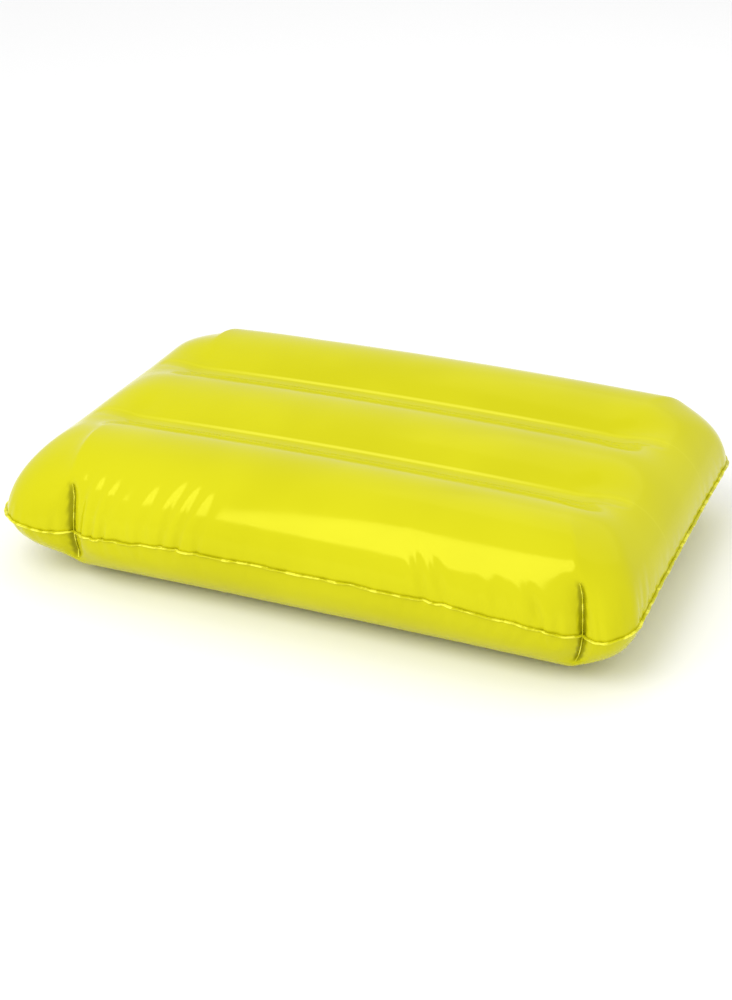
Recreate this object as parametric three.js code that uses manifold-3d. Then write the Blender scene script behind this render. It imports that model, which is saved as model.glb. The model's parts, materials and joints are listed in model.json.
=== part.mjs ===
// An inflatable camp pillow: two PVC sheets welded round a boxed rim, two inner baffles that pull
// three long channels into it, and a push-in mouth valve with a tethered plug on the rear wall.
// Millimetres, +Z up. The origin is on the ground under the middle of the pillow, X runs along
// the channels and the valve is on the +Y side.

import * as THREE from 'three';
import { mergeVertices } from 'three/addons/utils/BufferGeometryUtils.js';
import Module from 'manifold-3d';

// Pillow
const pillowLength = 362;       // between the rim welds, along X
const pillowWidth = 246;        // between the rim welds, along Y
const upperRise = 46;           // rim weld up to the crest of a channel
const lowerDrop = 34;           // rim weld down to the ground
const endWallDepth = 44;        // seen from above, how far an end wall takes to round over
const sideWallDepth = 42;       // the same for the front and rear walls
const cornerRadius = 38;        // plan radius of the corners
const cornerPinch = 11;         // how far the dart weld pulls a corner in
const pinchReach = 13;          // distance along the rim that the pinch dies out over
const sheetThickness = 0.5;
const rimWeldWidth = 3;         // the flat fin where the two sheets are welded
const rimWeldThickness = 0.7;   // one sheet of the fin

// Baffles
const channelPitch = 80;        // between the two baffles
const baffleWeldWidth = 10;     // the band welded to each sheet
const baffleWeldLength = 320;
const baffleThickness = 0.5;
const valleyDepth = 8.5;        // how far a baffle holds the sheet below the crests
const lowerValleyDepth = 7.5;
const restFlattening = 0.12;    // share of the lower valley that the ground presses flat

// Valve
const valveX = -108;
const valveHeightAboveRim = 20;
const stemRadius = 5.3;
const boreRadius = 3.5;
const stemProud = 3.2;          // rim of the stem above the sheet when it is pushed in
const stemDepth = 13;           // stem below the sheet when it is pushed in
const lipOverhang = 0.7;        // lip of the stem past the tube
const lipHeight = 1.2;
const collarWidth = 1.5;        // root collar that the skirt is welded to
const collarThickness = 0.8;
const collarDepth = 10.6;       // top of the collar below the sheet
const collarRoom = 1.8;         // room round the collar where it comes through the sheet
const valveFlangeWidth = 5.4;
const valveFlangeThickness = 0.8;
const skirtThickness = 0.5;
const skirtLipWidth = 1.6;      // welded under the flange
const skirtFootWidth = 1.3;     // welded on the collar
const plugCapInset = 0.2;       // the cap is this much smaller than the lip
const plugCapThickness = 1.6;
const plugPinLength = 4.2;
const plugPinTaper = 0.55;      // narrowing of the pin's radius to its tip
const plugTabLength = 4.5;
const plugTabWidth = 5;
const tetherRingWidth = 1.5;
const tetherThickness = 1.2;
const tetherWidth = 4;
const hingeReach = 4.2;         // plug hinge line from the edge of the cap
const knuckleRadius = 0.6;
const flapOverlap = 1.2;        // flap past the edge of the bore
const flapThickness = 0.5;

const clearance = 0.3;          // between pieces that touch
const pinClearance = 0.25;      // plug pin in the bore
const edgeRound = 0.35;         // broken edges of the moulded pieces
const bite = 0.25;              // how far joined shapes run into each other

// Mesh fineness
const wallRings = 6;
const lengthSteps = 19;
const outerChannelSteps = 3;
const middleChannelSteps = 5;
const roundSteps = 28;
const flatStations = 5;
const leastTurn = 0.05;         // radians between the first two stations of a baffle

const rimHeight = lowerDrop;
const bandHalf = baffleWeldWidth / 2;
const baffleY = channelPitch / 2;
const innerX = pillowLength / 2 - endWallDepth;
const innerY = pillowWidth / 2 - sideWallDepth;
const quarterTurn = Math.PI / 2;
// A valley starts a little above the rim and is full before the wall has rounded over, in radians.
const sinkFrom = 0.1;
const sinkTo = 1.1;
const lipRadius = stemRadius + lipOverhang;
const collarRadius = stemRadius + collarWidth;
const valveHoleRadius = collarRadius + collarRoom;
const valveFlangeRadius = valveHoleRadius + valveFlangeWidth;
const skirtLipRadius = valveHoleRadius + skirtLipWidth;
const plugCapRadius = lipRadius - plugCapInset;
const pinRadius = boreRadius - pinClearance;
const hingeOffset = plugCapRadius + hingeReach;
const flapRadius = boreRadius + flapOverlap;
const cornerInset = cornerRadius * (1 - Math.SQRT1_2);

const clamp = (value, low, high) => Math.min(high, Math.max(low, value));
const mix = (a, b, share) => a + (b - a) * share;
const smooth = (low, high, value) => {
  const t = clamp((value - low) / (high - low), 0, 1);
  return t * t * (3 - 2 * t);
};

function plastic(color, roughness = 0.22) {
  return new THREE.MeshStandardMaterial({ color, roughness, metalness: 0 });
}
const limeSheet = plastic(0xe2df38);
const limeBaffle = plastic(0xdbd833, 0.3);
const clearPvc = plastic(0xe8e68a, 0.25);
const valvePvc = plastic(0xe6e35a, 0.3);

// Cross positions of the grid lines over the flat middle: each baffle band has a line on both
// edges and one down its centre.
function crossPositions() {
  const stops = [
    [-innerY, -baffleY - bandHalf, outerChannelSteps],
    [-baffleY - bandHalf, -baffleY + bandHalf, 2],
    [-baffleY + bandHalf, baffleY - bandHalf, middleChannelSteps],
    [baffleY - bandHalf, baffleY + bandHalf, 2],
    [baffleY + bandHalf, innerY, outerChannelSteps],
  ];
  const positions = [-innerY];
  for (const [from, to, steps] of stops) {
    for (let k = 1; k <= steps; k++) positions.push(mix(from, to, k / steps));
  }
  return positions;
}
const crossLines = crossPositions();
const crossSteps = crossLines.length - 1;

// 1 on a baffle band, 0 on the crest of a channel.
function valleyShape(y) {
  const fromBand = Math.abs(Math.abs(y) - baffleY) - bandHalf;
  const reach = baffleY - 2 * bandHalf;
  if (fromBand <= 0) return 1;
  return fromBand >= reach ? 0 : (1 + Math.cos(Math.PI * fromBand / reach)) / 2;
}

// Point of the rim weld, seen from above. along runs from -1 to 1 between two corner darts on a
// side whose half length is half; across is the half size the other way.
function rimSide(along, half, across) {
  const run = along * (half - cornerInset);
  const past = Math.max(0, Math.abs(run) - (half - cornerRadius));
  const rounding = cornerRadius - Math.sqrt(cornerRadius ** 2 - past ** 2);
  const fromDart = (1 - Math.abs(along)) * (half - cornerInset);
  const pinch = cornerPinch * Math.SQRT1_2 * Math.exp(-((fromDart / pinchReach) ** 2));
  return [run - Math.sign(along) * pinch, across - rounding - pinch];
}

// One sheet as a grid of points. Rows near the border climb the rounded wall and rows inside
// it lie over the channels. shrink takes the wall thickness off for the inside of the sheet.
function sheetPoint(i, j, rise, depth, flattening) {
  const lastI = lengthSteps + 2 * wallRings;
  const lastJ = crossSteps + 2 * wallRings;
  const ring = Math.min(i, j, lastI - i, lastJ - j, wallRings);
  const turn = quarterTurn * ring / wallRings;
  const shareX = (i - ring) / (lastI - 2 * ring);
  const lineJ = (j - ring) / (lastJ - 2 * ring) * crossSteps;
  const lower = Math.min(Math.floor(lineJ), crossSteps - 1);
  const restY = mix(crossLines[lower], crossLines[lower + 1], lineJ - lower);
  const rest = [mix(-innerX, innerX, shareX), restY];
  let rim = rest;
  if (ring < wallRings) {
    const alongX = 2 * shareX - 1;
    const alongY = restY / innerY;
    if (j === ring || j === lastJ - ring) {
      const side = rimSide(alongX, pillowLength / 2, pillowWidth / 2);
      rim = [side[0], j === ring ? -side[1] : side[1]];
    } else {
      const side = rimSide(alongY, pillowWidth / 2, pillowLength / 2);
      rim = [i === ring ? -side[1] : side[1], side[0]];
    }
  }
  const x = mix(rest[0], rim[0], Math.cos(turn));
  const y = mix(rest[1], rim[1], Math.cos(turn));
  const held = Math.max(0, (valleyShape(y) - flattening) / (1 - flattening));
  const sink = depth * held * smooth(sinkFrom, sinkTo, turn);
  const outward = new THREE.Vector2(rim[0] - rest[0], rim[1] - rest[1]);
  if (outward.length() > 0) outward.normalize().multiplyScalar(Math.cos(turn) * sink);
  return new THREE.Vector3(x - outward.x, y - outward.y, (rise - sink) * Math.sin(turn));
}

// Closed thin tray with a fin round its open edge. up is 1 for the top sheet, -1 for the bottom.
function sheetGeometry(up, rise, depth, flattening) {
  const countI = lengthSteps + 2 * wallRings + 1;
  const countJ = crossSteps + 2 * wallRings + 1;
  const finFar = clearance / 2 + rimWeldThickness;
  const outer = [];
  const cells = [];
  for (let j = 0; j < countJ; j++) {
    for (let i = 0; i < countI; i++) {
      const point = sheetPoint(i, j, rise - finFar, depth, flattening);
      outer.push(new THREE.Vector3(point.x, point.y, point.z + finFar));
    }
  }
  const at = (i, j) => j * countI + i;
  for (let j = 0; j + 1 < countJ; j++) {
    for (let i = 0; i + 1 < countI; i++) {
      const [a, b, c, d] = [at(i, j), at(i + 1, j), at(i + 1, j + 1), at(i, j + 1)];
      const mirrored = (i < countI / 2) === (j < countJ / 2);
      cells.push(...(mirrored ? [[a, b, c], [a, c, d]] : [[a, b, d], [b, c, d]]));
    }
  }
  const skin = new THREE.BufferGeometry();
  skin.setAttribute('position', new THREE.Float32BufferAttribute(outer.flatMap((p) => p.toArray()), 3));
  skin.setIndex(cells.flat());
  skin.computeVertexNormals();
  const normals = skin.getAttribute('normal');

  const border = [];
  for (let i = 0; i < countI - 1; i++) border.push(at(i, 0));
  for (let j = 0; j < countJ - 1; j++) border.push(at(countI - 1, j));
  for (let i = countI - 1; i > 0; i--) border.push(at(i, countJ - 1));
  for (let j = countJ - 1; j > 0; j--) border.push(at(0, j));

  const points = outer.map((p) => p.clone());
  const count = outer.length;
  outer.forEach((p, k) => {
    points.push(new THREE.Vector3().fromBufferAttribute(normals, k).multiplyScalar(-sheetThickness).add(p));
  });
  const total = border.length;
  const outwardAt = (k) => {
    const before = outer[border[(k + total - 1) % total]];
    const after = outer[border[(k + 1) % total]];
    return new THREE.Vector3(after.y - before.y, before.x - after.x, 0).normalize();
  };
  border.forEach((index, k) => {
    const away = outwardAt(k);
    const inside = outer[index].clone().addScaledVector(away, -sheetThickness);
    points[count + index].set(inside.x, inside.y, clearance / 2);
  });
  const finTop = points.length;
  border.forEach((index, k) => {
    points.push(outer[index].clone().addScaledVector(outwardAt(k), rimWeldWidth));
  });
  const finBottom = points.length;
  for (let k = 0; k < total; k++) points.push(points[finTop + k].clone().setZ(clearance / 2));

  const faces = cells.map((cell) => [...cell]);
  for (const [a, b, c] of cells) faces.push([count + a, count + c, count + b]);
  for (let k = 0; k < total; k++) {
    const next = (k + 1) % total;
    const loops = [
      [border[next], border[k], finTop + k, finTop + next],
      [finTop + next, finTop + k, finBottom + k, finBottom + next],
      [finBottom + next, finBottom + k, count + border[k], count + border[next]],
    ];
    for (const [a, b, c, d] of loops) faces.push([a, b, c], [a, c, d]);
  }
  return solidGeometry(points.map((p) => [p.x, p.y, up * p.z + rimHeight]), faces, up < 0);
}

function solidGeometry(points, faces, flipped = false) {
  const geometry = new THREE.BufferGeometry();
  geometry.setAttribute('position', new THREE.Float32BufferAttribute(points.flat(), 3));
  geometry.setIndex(faces.flatMap(([a, b, c]) => (flipped ? [a, c, b] : [a, b, c])));
  geometry.computeVertexNormals();
  return geometry;
}

// Point under a sheet where a baffle band lies against it, with its distance from the middle of
// the pillow and its height from the rim. turn is a quarter turn over the flat middle and
// smaller down the end wall.
function bandPoint(flatX, turn, rise, depth) {
  const at = (angle) => {
    const sink = depth * smooth(sinkFrom, sinkTo, angle);
    const out = endWallDepth - sink;
    return new THREE.Vector2(flatX + out * Math.cos(angle), (rise - sink) * Math.sin(angle));
  };
  const point = at(turn);
  const step = 0.01;
  const along = at(turn - step).sub(at(Math.min(turn + step, quarterTurn))).normalize();
  const cover = sheetThickness + clearance;
  return new THREE.Vector2(point.x + along.y * cover, point.y - along.x * cover);
}

// A baffle: an upright web with a weld band along its top and bottom, like a soft I-beam.
function baffleGeometry(y) {
  const half = baffleThickness / 2;
  const points = [];
  const faces = [];
  // The weld ends part of the way down the end wall, or short of it on a shorter weld.
  const pastFlat = Math.max(0, baffleWeldLength / 2 - innerX);
  const flatEnd = Math.min(innerX, baffleWeldLength / 2);
  const lastTurn = Math.acos(pastFlat / endWallDepth);
  const stations = pastFlat > 0 ? [[flatEnd, lastTurn]] : [];
  for (let ring = 1; ring < wallRings; ring++) {
    const turn = quarterTurn * ring / wallRings;
    if (turn > lastTurn + leastTurn) stations.push([flatEnd, turn]);
  }
  for (let k = 0; k < flatStations; k++) stations.push([flatEnd * (1 - k / flatStations), quarterTurn]);
  const mirrored = stations.map(([x, turn]) => [x, turn, 1]);
  const all = stations.map(([x, turn]) => [x, turn, -1]).concat([[0, quarterTurn, 1]], mirrored.reverse());
  for (const [flatX, turn, side] of all) {
    const upper = bandPoint(flatX, turn, upperRise, valleyDepth);
    const lower = bandPoint(flatX, turn, lowerDrop, lowerValleyDepth);
    const [topX, top] = [side * upper.x, rimHeight + upper.y];
    const [bottomX, bottom] = [side * lower.x, rimHeight - lower.y];
    const under = top - baffleThickness;
    const over = bottom + baffleThickness;
    const section = [
      [-bandHalf, bottom], [bandHalf, bottom], [bandHalf, over], [half, over], [half, under],
      [bandHalf, under], [bandHalf, top], [-bandHalf, top], [-bandHalf, under], [-half, under],
      [-half, over], [-bandHalf, over],
    ];
    for (const [across, z] of section) {
      points.push([z > rimHeight ? topX : bottomX, y + across, z]);
    }
  }
  const steps = all.length - 1;
  const n = 12;
  for (let s = 0; s < steps; s++) {
    for (let k = 0; k < n; k++) {
      const [a, b] = [s * n + k, s * n + (k + 1) % n];
      faces.push([a, a + n, b], [b, a + n, b + n]);
    }
  }
  const capTriangles = [[0, 1, 2], [0, 2, 3], [0, 3, 10], [0, 10, 11], [10, 3, 4], [10, 4, 9],
    [9, 4, 7], [4, 5, 6], [4, 6, 7], [9, 7, 8]];
  for (const [a, b, c] of capTriangles) {
    faces.push([a, b, c], [a + steps * n, c + steps * n, b + steps * n]);
  }
  return solidGeometry(points, faces, true);
}

// The rear wall above the rim, from the side: where its outer face is at a given height.
function rearWallY(z) {
  const finFar = clearance / 2 + rimWeldThickness;
  const ringAt = (ring) => {
    const turn = quarterTurn * ring / wallRings;
    const up = rimHeight + finFar + (upperRise - finFar) * Math.sin(turn);
    return [innerY + sideWallDepth * Math.cos(turn), up];
  };
  for (let ring = 0; ring < wallRings; ring++) {
    const [[fromY, fromZ], [toY, toZ]] = [ringAt(ring), ringAt(ring + 1)];
    if (z <= toZ) return mix(fromY, toY, (z - fromZ) / (toZ - fromZ));
  }
  return innerY;
}

// The valve's own frame: its origin on the outer face of the rear wall and its +Y along the
// wall's outward normal. Its X is the pillow's X.
const valveTurn = Math.asin(valveHeightAboveRim / upperRise);
const valveHeight = rimHeight + valveHeightAboveRim;
const valveSeat = new THREE.Vector3(valveX, rearWallY(valveHeight), valveHeight);
const valveTilt = Math.atan2(Math.sin(valveTurn) / upperRise, Math.cos(valveTurn) / sideWallDepth);
const valvePlace = new THREE.Matrix4().makeRotationX(valveTilt).setPosition(valveSeat);

// Depth of the wall's outer face under the valve's seat plane, at a height from its centre.
function wallDepthAt(side) {
  let [near, far] = [-sideWallDepth / 2, sideWallDepth / 2];
  for (let k = 0; k < 40; k++) {
    const middle = (near + far) / 2;
    const p = new THREE.Vector3(0, -middle, side).applyMatrix4(valvePlace);
    if (p.y > rearWallY(p.z)) near = middle;
    else far = middle;
  }
  return near;
}

// A ring welded to the inside of the wall, curved with it.
function valveFlangeGeometry() {
  const points = [];
  const faces = [];
  const radii = [valveHoleRadius, (valveHoleRadius + valveFlangeRadius) / 2, valveFlangeRadius];
  const layers = [sheetThickness + clearance, sheetThickness + clearance + valveFlangeThickness];
  for (const layer of layers) {
    for (const radius of radii) {
      for (let k = 0; k < roundSteps; k++) {
        const angle = 2 * Math.PI * k / roundSteps;
        const side = radius * Math.sin(angle);
        points.push([radius * Math.cos(angle), -wallDepthAt(side) - layer, side]);
      }
    }
  }
  const loop = [0, 1, 2, 5, 4, 3];
  for (let r = 0; r < loop.length; r++) {
    const [from, to] = [loop[r] * roundSteps, loop[(r + 1) % loop.length] * roundSteps];
    for (let k = 0; k < roundSteps; k++) {
      const next = (k + 1) % roundSteps;
      faces.push([from + k, to + k, to + next], [from + k, to + next, from + next]);
    }
  }
  return solidGeometry(points, faces, true);
}

// A turned shape from [radius, height] pairs that close on themselves or start and end on the axis.
function turned(profile) {
  return new THREE.LatheGeometry(profile.map(([r, h]) => new THREE.Vector2(r, h)), roundSteps);
}

// The skirt is a soft cup between the flange and the stem's collar. It hangs inwards while the
// stem is pushed in.
function skirtGeometry() {
  const top = -(wallDepthAt(skirtLipRadius) + sheetThickness + valveFlangeThickness + 2 * clearance);
  const bottom = clearance - collarDepth;
  const narrow = stemRadius + clearance;
  const foot = narrow + skirtFootWidth;
  const throat = valveHoleRadius;
  return turned([
    [narrow, bottom], [foot, bottom], [throat + skirtThickness, top - skirtThickness],
    [skirtLipRadius, top - skirtThickness], [skirtLipRadius, top], [throat, top],
    [foot - skirtThickness, bottom + skirtThickness], [narrow, bottom + skirtThickness], [narrow, bottom],
  ]);
}

function stemGeometry() {
  return turned([
    [boreRadius, -stemDepth], [stemRadius, -stemDepth], [stemRadius, -collarDepth - collarThickness],
    [collarRadius, -collarDepth - collarThickness], [collarRadius, -collarDepth],
    [stemRadius, -collarDepth], [stemRadius, stemProud - lipHeight],
    [lipRadius, stemProud - lipHeight + edgeRound], [lipRadius, stemProud - edgeRound],
    [lipRadius - edgeRound, stemProud], [boreRadius + edgeRound, stemProud],
    [boreRadius, stemProud - edgeRound], [boreRadius, -stemDepth],
  ]);
}

const wasm = await Module();
wasm.setup();

function toSolid(geometry) {
  const bare = geometry.clone();
  bare.deleteAttribute('normal');
  bare.deleteAttribute('uv');
  const merged = mergeVertices(bare, 1e-4);
  return new wasm.Manifold(new wasm.Mesh({
    numProp: 3,
    vertProperties: new Float32Array(merged.getAttribute('position').array),
    triVerts: new Uint32Array(merged.getIndex().array),
  }));
}

function fromSolid(solid) {
  const mesh = solid.getMesh();
  const geometry = new THREE.BufferGeometry();
  geometry.setAttribute('position', new THREE.Float32BufferAttribute(mesh.vertProperties, mesh.numProp));
  geometry.setIndex(Array.from(mesh.triVerts));
  geometry.computeVertexNormals();
  return geometry;
}

function joined(geometries) {
  return geometries.map(toSolid).reduce((whole, part) => whole.add(part));
}

// A flat bar along X in the valve's frame, between two levels. Its far end can be rounded.
function strap(fromX, toX, width, low, high, rounded) {
  const shape = new THREE.Shape();
  shape.moveTo(fromX, -width / 2);
  shape.lineTo(fromX, width / 2);
  shape.lineTo(toX, width / 2);
  if (rounded) shape.absarc(toX, 0, width / 2, Math.PI / 2, -Math.PI / 2, true);
  else shape.lineTo(toX, -width / 2);
  shape.closePath();
  const options = { depth: high - low, bevelEnabled: false, curveSegments: 8 };
  const bar = new THREE.ExtrudeGeometry(shape, options);
  return bar.rotateX(Math.PI / 2).translate(0, high, 0);
}

function plugGeometry() {
  const seat = stemProud + clearance;
  const cap = turned([
    [0, seat], [plugCapRadius, seat], [plugCapRadius, seat + plugCapThickness - edgeRound],
    [plugCapRadius - edgeRound, seat + plugCapThickness], [0, seat + plugCapThickness],
  ]);
  const pin = turned([
    [0, seat - plugPinLength], [pinRadius - plugPinTaper, seat - plugPinLength],
    [pinRadius, seat - plugPinLength / 2], [pinRadius, seat + bite], [0, seat + bite],
  ]);
  const arm = strap(-hingeOffset, 0, tetherWidth, seat, seat + 2 * knuckleRadius, false);
  const knuckle = new THREE.CylinderGeometry(knuckleRadius, knuckleRadius, tetherWidth, 12)
    .rotateX(Math.PI / 2).translate(-hingeOffset, seat + knuckleRadius, 0);
  const tabEnd = plugCapRadius + plugTabLength - plugTabWidth / 2;
  const tab = strap(0, tabEnd, plugTabWidth, seat + bite, seat + bite + tetherThickness, true);
  return fromSolid(joined([cap, pin, arm, knuckle, tab]));
}

// The ring of the tether sits round the stem under its lip, and its arm ends under the hinge.
function tetherGeometry() {
  const high = stemProud - lipHeight - clearance;
  const low = high - tetherThickness;
  const inner = stemRadius + clearance;
  const ring = turned([
    [inner, low], [inner + tetherRingWidth, low], [inner + tetherRingWidth, high], [inner, high],
    [inner, low],
  ]);
  const reach = hingeOffset + knuckleRadius;
  const arm = strap(-reach, -inner - bite, tetherWidth, low, high, false);
  const post = strap(-reach, -reach + 2 * knuckleRadius, tetherWidth, high - bite, stemProud, false);
  return fromSolid(joined([ring, arm, post]));
}

// The flap hangs from one edge and covers the inner end of the bore.
function flapGeometry() {
  const high = -stemDepth - clearance;
  return turned([
    [0, high - flapThickness], [flapRadius, high - flapThickness], [flapRadius, high], [0, high],
  ]);
}

function topSheetGeometry() {
  const sheet = toSolid(sheetGeometry(1, upperRise, valleyDepth, 0));
  const punch = new THREE.CylinderGeometry(valveHoleRadius, valveHoleRadius, 2 * stemDepth / 3, roundSteps)
    .applyMatrix4(valvePlace);
  return fromSolid(sheet.subtract(toSolid(punch)));
}

const pillow = new THREE.Group();
pillow.name = 'camp_pillow';

function addNode(parent, name, geometry, material) {
  const mesh = new THREE.Mesh(geometry, material);
  mesh.name = name;
  parent.add(mesh);
  return mesh;
}

addNode(pillow, 'top_sheet', topSheetGeometry(), limeSheet);
addNode(pillow, 'bottom_sheet', sheetGeometry(-1, lowerDrop, lowerValleyDepth, restFlattening), limeSheet);
addNode(pillow, 'front_baffle', baffleGeometry(-baffleY), limeBaffle);
addNode(pillow, 'rear_baffle', baffleGeometry(baffleY), limeBaffle);

const valve = new THREE.Group();
valve.rotation.x = valveTilt;
valve.position.copy(valveSeat);
pillow.add(valve);
addNode(valve, 'valve_flange', valveFlangeGeometry(), clearPvc);
addNode(valve, 'valve_skirt', skirtGeometry(), clearPvc);
addNode(valve, 'valve_stem', stemGeometry(), valvePvc);
addNode(valve, 'valve_flap', flapGeometry(), clearPvc);
addNode(valve, 'plug_tether', tetherGeometry(), valvePvc);
addNode(valve, 'valve_plug', plugGeometry(), valvePvc);

export default pillow;
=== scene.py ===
"""An inflated camp pillow of glossy lime film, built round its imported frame. Metres, +Z up."""

import json
import math

import bpy
import numpy as np
from mathutils import Matrix, Quaternion, Vector


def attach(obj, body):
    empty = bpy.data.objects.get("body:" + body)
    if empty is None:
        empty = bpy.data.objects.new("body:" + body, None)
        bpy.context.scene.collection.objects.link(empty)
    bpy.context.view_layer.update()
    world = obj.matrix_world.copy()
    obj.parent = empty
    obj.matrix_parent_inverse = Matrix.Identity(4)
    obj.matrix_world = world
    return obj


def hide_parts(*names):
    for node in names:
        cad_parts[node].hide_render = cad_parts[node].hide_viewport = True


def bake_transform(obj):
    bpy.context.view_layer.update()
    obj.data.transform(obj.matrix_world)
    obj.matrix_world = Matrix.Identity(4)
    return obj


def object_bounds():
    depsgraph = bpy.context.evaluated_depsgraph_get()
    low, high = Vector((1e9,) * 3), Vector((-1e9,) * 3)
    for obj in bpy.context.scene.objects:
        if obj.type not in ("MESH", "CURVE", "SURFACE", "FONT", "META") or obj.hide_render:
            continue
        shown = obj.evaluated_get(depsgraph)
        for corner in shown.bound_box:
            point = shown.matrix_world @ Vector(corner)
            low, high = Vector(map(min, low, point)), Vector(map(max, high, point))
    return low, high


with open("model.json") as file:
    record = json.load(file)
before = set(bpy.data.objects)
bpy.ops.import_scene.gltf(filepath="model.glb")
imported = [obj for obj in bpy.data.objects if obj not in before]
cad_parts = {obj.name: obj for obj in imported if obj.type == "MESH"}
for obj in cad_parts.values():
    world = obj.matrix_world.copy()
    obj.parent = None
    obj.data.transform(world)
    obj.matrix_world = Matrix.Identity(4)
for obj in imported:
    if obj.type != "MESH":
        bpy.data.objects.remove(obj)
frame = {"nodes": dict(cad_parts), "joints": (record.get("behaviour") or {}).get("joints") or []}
FRAME_LOW, FRAME_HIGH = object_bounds()

bl_info = {
    "name": "Camp Pillow Maker",
    "version": (1, 0, 0),
    "blender": (4, 5, 0),
    "location": "3D View > Sidebar > Camp Pillow",
    "description": "Makes an inflated camp pillow of glossy film with welded channels and a mouth valve",
    "category": "Object",
}

MM = 0.001
QUARTER = math.pi / 2


# ---------------------------------------------------------------------------------------------
# Settings


class PILLOW_PG_film(bpy.types.PropertyGroup):
    """Sizes of the welded film."""

    half_length: bpy.props.FloatProperty(
        name="Half length", description="From the middle to the rim weld of an end",
        default=FRAME_HIGH.x - 3 * MM, unit="LENGTH")
    half_width: bpy.props.FloatProperty(
        name="Half width", description="From the middle to the rim weld of a long side",
        default=FRAME_HIGH.y - 3 * MM, unit="LENGTH")
    crest: bpy.props.FloatProperty(
        name="Crest", description="Height of the channels above the ground",
        default=FRAME_HIGH.z - 1.3 * MM, unit="LENGTH")
    rim_middle: bpy.props.FloatProperty(
        name="Rim height, middle", description="Height of the rim weld in the middle of a long side",
        default=0.0395, unit="LENGTH")
    rim_corner: bpy.props.FloatProperty(
        name="Rim height, corners", description="Height of the rim weld at the corner darts",
        default=0.0326, unit="LENGTH")
    rim_end: bpy.props.FloatProperty(
        name="Rim height, ends", description="Height of the rim weld in the middle of an end",
        default=0.0362, unit="LENGTH")
    end_depth: bpy.props.FloatProperty(
        name="End depth", description="Seen from above, how far an end takes to round over",
        default=0.044, unit="LENGTH")
    side_depth: bpy.props.FloatProperty(
        name="Side depth", description="Seen from above, how far a long side takes to round over",
        default=0.0434, unit="LENGTH")
    lobe_radius: bpy.props.FloatProperty(
        name="Lobe radius", description="Plan radius of the corner lobes",
        default=0.0245, unit="LENGTH")
    left_dart: bpy.props.FloatProperty(
        name="Left darts", description="From the middle to the darts of the fuller end",
        default=0.1319, unit="LENGTH")
    right_dart: bpy.props.FloatProperty(
        name="Right darts", description="From the middle to the darts of the other end",
        default=0.1565, unit="LENGTH")
    dart_inset: bpy.props.FloatProperty(
        name="Dart inset", description="How far the darts stand back from the long sides",
        default=0.0093, unit="LENGTH")
    thickness: bpy.props.FloatProperty(
        name="Film thickness", description="Thickness of one sheet of film",
        default=0.0004, unit="LENGTH")
    fin_width: bpy.props.FloatProperty(
        name="Fin width", description="How far the rim weld stands out",
        default=0.0014, unit="LENGTH")
    pressure: bpy.props.FloatProperty(
        name="Pressure", description="Air pressure of the cloth simulation",
        default=6.0, min=0.0)


class PILLOW_PG_finish(bpy.types.PropertyGroup):
    """Colours and gloss."""

    lime: bpy.props.FloatVectorProperty(
        name="Film", description="Colour of the film", subtype="COLOR", size=3,
        default=(0.590, 0.568, 0.008), min=0.0, max=1.0)
    lime_deep: bpy.props.FloatVectorProperty(
        name="Deep film", description="Colour of the film where it is doubled or shaded",
        subtype="COLOR", size=3, default=(0.555, 0.532, 0.006), min=0.0, max=1.0)
    moulding: bpy.props.FloatVectorProperty(
        name="Valve", description="Colour of the moulded valve", subtype="COLOR", size=3,
        default=(0.80, 0.78, 0.16), min=0.0, max=1.0)
    milky: bpy.props.FloatVectorProperty(
        name="Clear film", description="Colour of the milky valve film", subtype="COLOR", size=3,
        default=(0.84, 0.82, 0.42), min=0.0, max=1.0)
    floor: bpy.props.FloatVectorProperty(
        name="Floor", description="Colour of the floor", subtype="COLOR", size=3,
        default=(0.92, 0.92, 0.92), min=0.0, max=1.0)


# ---------------------------------------------------------------------------------------------
# Small helpers


def smooth(low, high, value):
    """0 below low, 1 above high, and an S curve between them."""
    t = np.clip((value - low) / (high - low), 0, 1)
    return t * t * (3 - 2 * t)


def points_of(obj):
    """The points of a mesh as rows of x, y and z."""
    flat = np.empty(len(obj.data.vertices) * 3)
    obj.data.vertices.foreach_get("co", flat)
    return flat.reshape(-1, 3)


def set_points(obj, points):
    """Moves the points of a mesh to new places."""
    obj.data.vertices.foreach_set("co", np.ascontiguousarray(points, float).ravel())
    obj.data.update()


def normals_of(obj):
    """The outward direction at every point of a mesh."""
    flat = np.empty(len(obj.data.vertices) * 3)
    obj.data.vertex_normals.foreach_get("vector", flat)
    return flat.reshape(-1, 3)


def edge_ends(obj):
    """The two point numbers of every edge."""
    flat = np.empty(len(obj.data.edges) * 2, np.int32)
    obj.data.edges.foreach_get("vertices", flat)
    return flat.reshape(-1, 2)


def open_edges(obj):
    """Flags for the edges that have only one face."""
    used = np.empty(len(obj.data.loops), np.int32)
    obj.data.loops.foreach_get("edge_index", used)
    return np.bincount(used, minlength=len(obj.data.edges)) == 1


def keep_values(obj, label, values):
    """Keeps a number for every point, which duplicating and subdividing carry along."""
    held = obj.data.attributes.get(label) or obj.data.attributes.new(label, "FLOAT", "POINT")
    held.data.foreach_set("value", np.asarray(values, np.float32))


def kept_values(obj, label):
    """The numbers kept by keep_values."""
    values = np.empty(len(obj.data.vertices), np.float32)
    obj.data.attributes[label].data.foreach_get("value", values)
    return values.astype(float)


def pick(obj):
    """Makes obj the only selected and active object."""
    bpy.ops.object.select_all(action="DESELECT")
    obj.select_set(True)
    bpy.context.view_layer.objects.active = obj


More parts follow.
